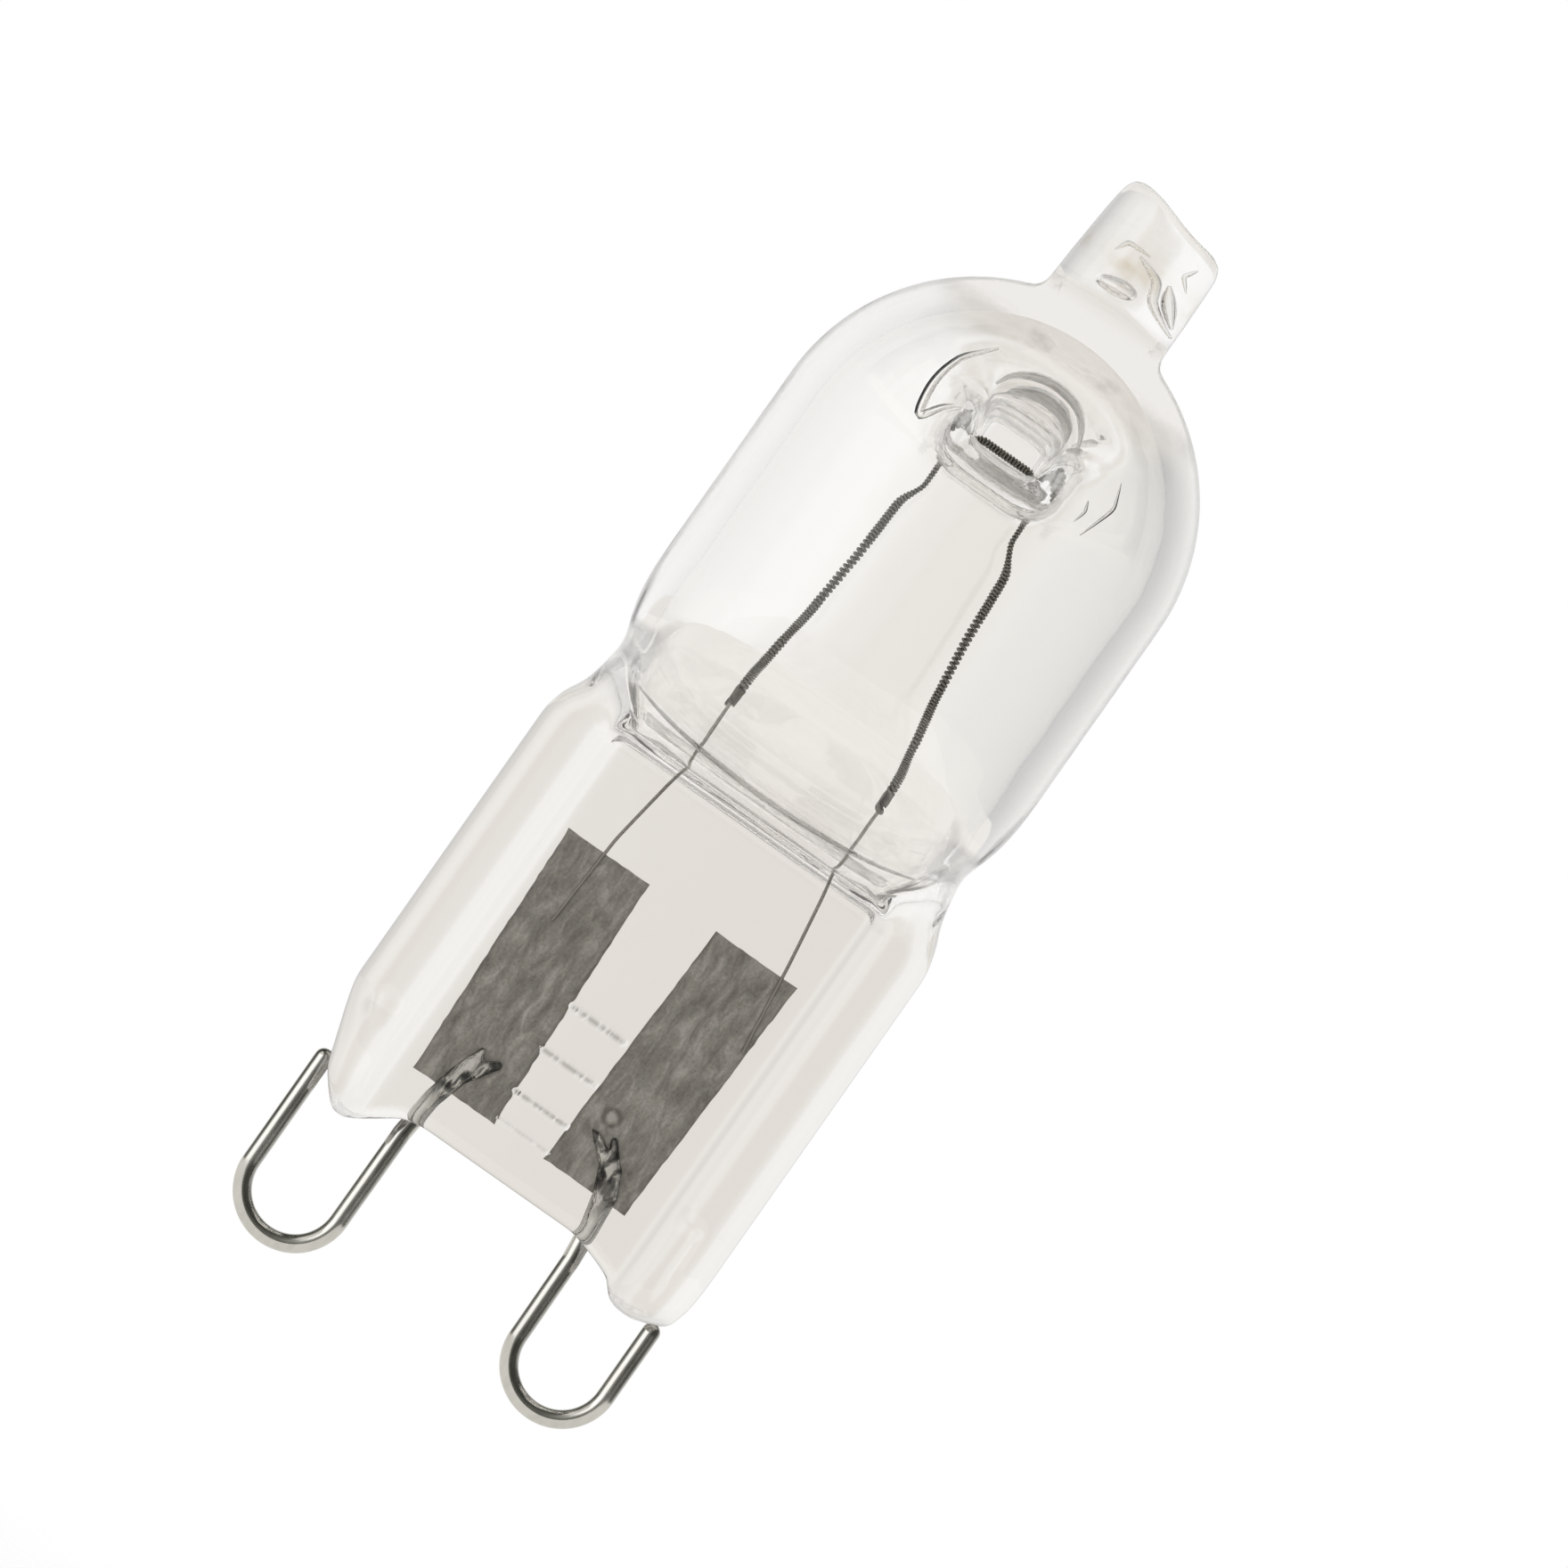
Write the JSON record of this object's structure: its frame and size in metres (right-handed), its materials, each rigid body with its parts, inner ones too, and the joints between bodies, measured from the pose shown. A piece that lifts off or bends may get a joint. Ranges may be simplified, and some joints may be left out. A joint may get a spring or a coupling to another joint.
{
  "type": "halogen capsule bulb",
  "caption": "Clear quartz halogen capsule with a flat pinch seal, a coiled filament held by a glass dent, and looped wire pins.",
  "frame": {"origin": "midway between the two loop pins, on the underside of the pinch's web", "axes": "+Z along the lamp's axis from the pins to the tip, +X along the wide side of the pinch to the right loop as seen from the front, -Y to the front"},
  "size_m": [0.0132, 0.0126, 0.0387],
  "materials": {
    "quartz": "clear fire-polished quartz",
    "tungsten": "dark drawn and coiled tungsten",
    "lead_wire": "drawn wire",
    "foil": "dull etched molybdenum foil",
    "pin_wire": "bright plated wire"
  },
  "bodies": {
    "root": {"glass_envelope": "quartz", "filament": "tungsten", "inner_lead_left": "lead_wire", "inner_lead_right": "lead_wire", "foil_left": "foil", "foil_right": "foil", "pin_left": "pin_wire", "pin_right": "pin_wire"}
  },
  "joints": []
}
